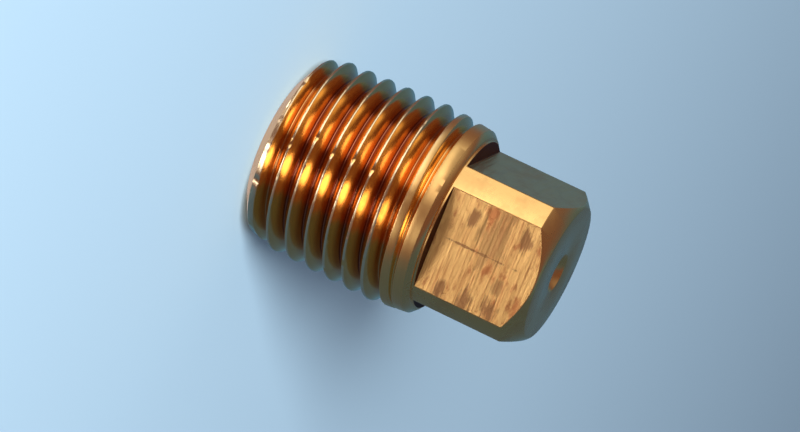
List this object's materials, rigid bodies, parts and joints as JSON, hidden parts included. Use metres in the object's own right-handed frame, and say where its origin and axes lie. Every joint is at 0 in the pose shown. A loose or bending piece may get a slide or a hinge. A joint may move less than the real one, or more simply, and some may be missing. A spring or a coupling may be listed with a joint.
{
  "type": "brass square-head pipe plug",
  "caption": "Solid brass pipe plug with a taper thread, a plain collar and a square wrench head with a chamfered, centre-drilled end.",
  "frame": {"origin": "centre of the small end face of the thread, which is the lowest point of the plug as it stands", "axes": "+Z along the thread's axis, from the small end face to the square head; X and Y square to the four flats"},
  "size_m": [0.0136, 0.0136, 0.0203],
  "materials": {
    "brass": "machined and lightly tarnished"
  },
  "bodies": {
    "root": {"square_head_plug": "brass"}
  },
  "joints": []
}
